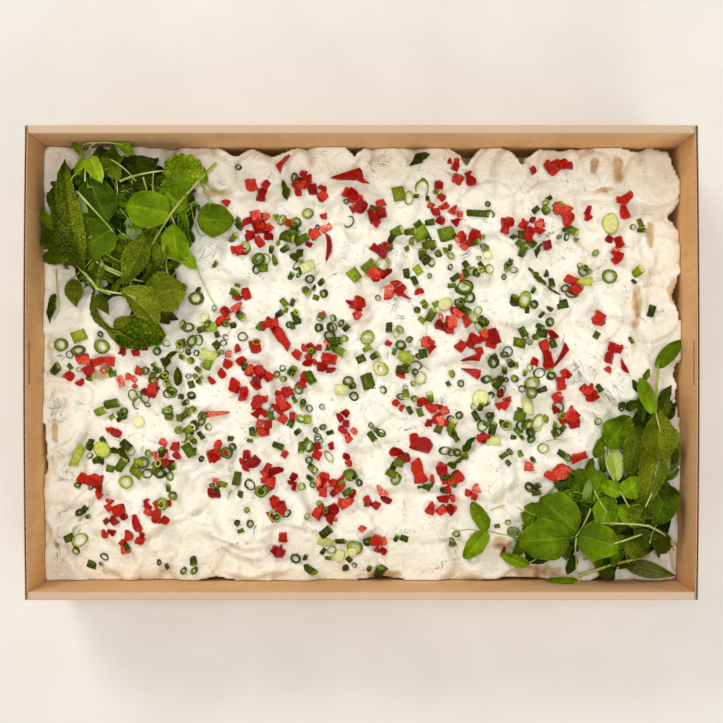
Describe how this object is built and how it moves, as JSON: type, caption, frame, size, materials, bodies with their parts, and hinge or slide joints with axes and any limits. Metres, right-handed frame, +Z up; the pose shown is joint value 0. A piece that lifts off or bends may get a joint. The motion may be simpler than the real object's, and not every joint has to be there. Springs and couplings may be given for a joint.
{
  "type": "potato salad in a kraft catering tray",
  "caption": "Open kraft board tray filled with creamy potato salad, topped with diced red pepper, cut chives and two bunches of pea shoots and mint.",
  "frame": {"origin": "middle of the tray's underside", "axes": "+Z up, +X along the tray's long side, +Y towards the long wall beside the first herb bunch"},
  "size_m": [0.362, 0.254, 0.08],
  "materials": {
    "kraft_board": "uncoated brown kraft paper on corrugated board",
    "dressed_potato": "creamy mayonnaise dressing, satin gloss, slightly translucent",
    "red_pepper": "cut red pepper, wet gloss",
    "chive": "cut chives and spring onion, satin",
    "herb_leaf": "fresh pea shoot and mint leaf, satin with veins",
    "herb_stem": "pale green stem and tendril, satin"
  },
  "bodies": {
    "root": {"catering_box": "kraft_board", "potato_salad": "dressed_potato", "herb_bunch_left": "herb_leaf", "herb_bunch_right": "herb_leaf"}
  },
  "joints": []
}
